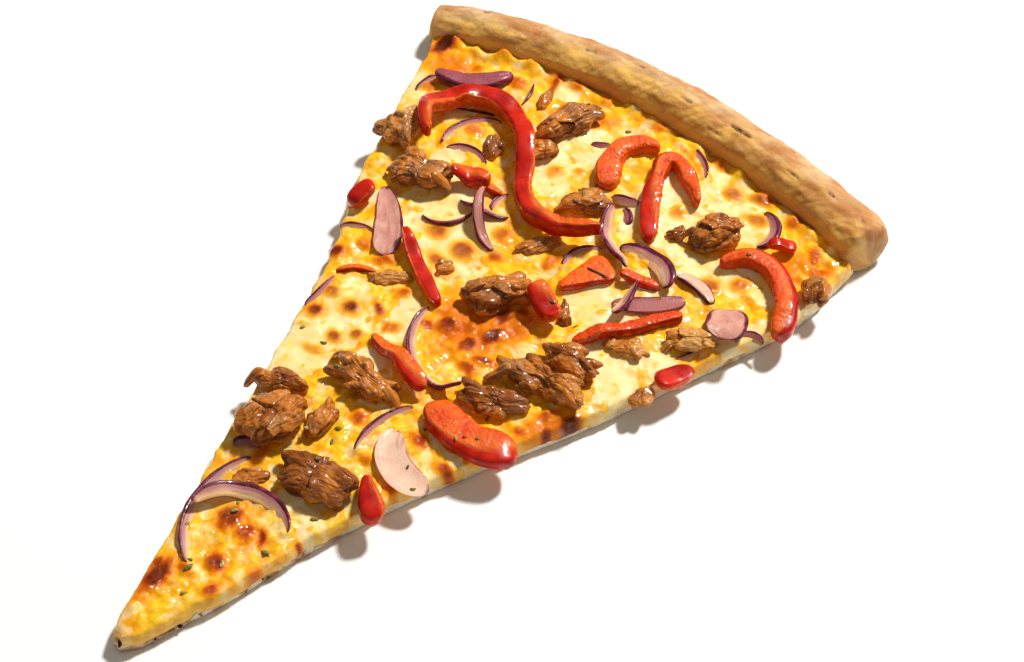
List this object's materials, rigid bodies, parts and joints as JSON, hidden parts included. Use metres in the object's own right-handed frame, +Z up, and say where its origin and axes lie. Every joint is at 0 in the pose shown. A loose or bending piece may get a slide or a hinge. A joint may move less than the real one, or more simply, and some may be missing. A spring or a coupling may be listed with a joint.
{
  "type": "cheddar pizza slice",
  "caption": "Baked pizza slice with a raised crust, melted cheese, red pepper strips, red onion and pieces of roast meat, lying flat.",
  "frame": {"origin": "under the middle of the slice's bounding box, on the surface it lies on", "axes": "+X to the right cut seen from the tip, +Y from the tip to the crust, +Z up out of the cheese"},
  "size_m": [0.1299, 0.1965, 0.0162],
  "materials": {
    "crust": "baked dough, tan with browned patches, matte",
    "cheese": "melted cheese, cream and yellow with browned blisters, oily sheen",
    "pepper": "baked red pepper, wet and glossy",
    "onion": "baked red onion, purple skin and pale translucent inside",
    "meat": "browned shredded meat, satin with darker crevices"
  },
  "bodies": {
    "root": {"cheese": "cheese", "dough": "crust", "meat_back_lump": "meat", "meat_back_spiky": "meat", "meat_back_sunk": "meat", "meat_cut_bit": "meat", "meat_front_arch": "meat", "meat_front_heap": "meat", "meat_front_slab": "meat", "meat_front_strand": "meat", "meat_front_wide": "meat", "meat_golden_left": "meat", "meat_golden_right": "meat", "meat_left_crumbly": "meat", "meat_left_strips": "meat", "meat_low_lumps": "meat", "meat_middle": "meat", "meat_pale_middle": "meat", "meat_right_chunk": "meat", "meat_right_cut": "meat", "meat_wide_back": "meat", "meat_wide_slab": "meat", "onion_almond": "onion", "onion_back_crescent": "onion", "onion_crust_thread": "onion", "onion_dark_back": "onion", "onion_drop": "onion", "onion_fan_arc": "onion", "onion_flat_middle": "onion", "onion_front_arc": "onion", "onion_front_petal": "onion", "onion_hook_arc": "onion", "onion_hook_low": "onion", "onion_left_petal": "onion", "onion_long_middle": "onion", "onion_petal_right": "onion", "onion_right_hook": "onion", "onion_smile": "onion", "onion_star_cross": "onion", "onion_star_long": "onion", "onion_tip_arc": "onion", "onion_tip_long": "onion", "onion_upright_fan": "onion", "onion_wide_arc": "onion", "pepper_arch": "pepper", "pepper_curl": "pepper", "pepper_cut_edge": "pepper", "pepper_flat_middle": "pepper", "pepper_front_wedge": "pepper", "pepper_half_moon": "pepper", "pepper_hook": "pepper", "pepper_left_bend": "pepper", "pepper_left_edge": "pepper", "pepper_middle_wedge": "pepper", "pepper_right_curve": "pepper", "pepper_sliver": "pepper", "pepper_straight": "pepper", "pepper_stub": "pepper", "pepper_sunk_strip": "pepper", "pepper_wide_front": "pepper"}
  },
  "joints": []
}
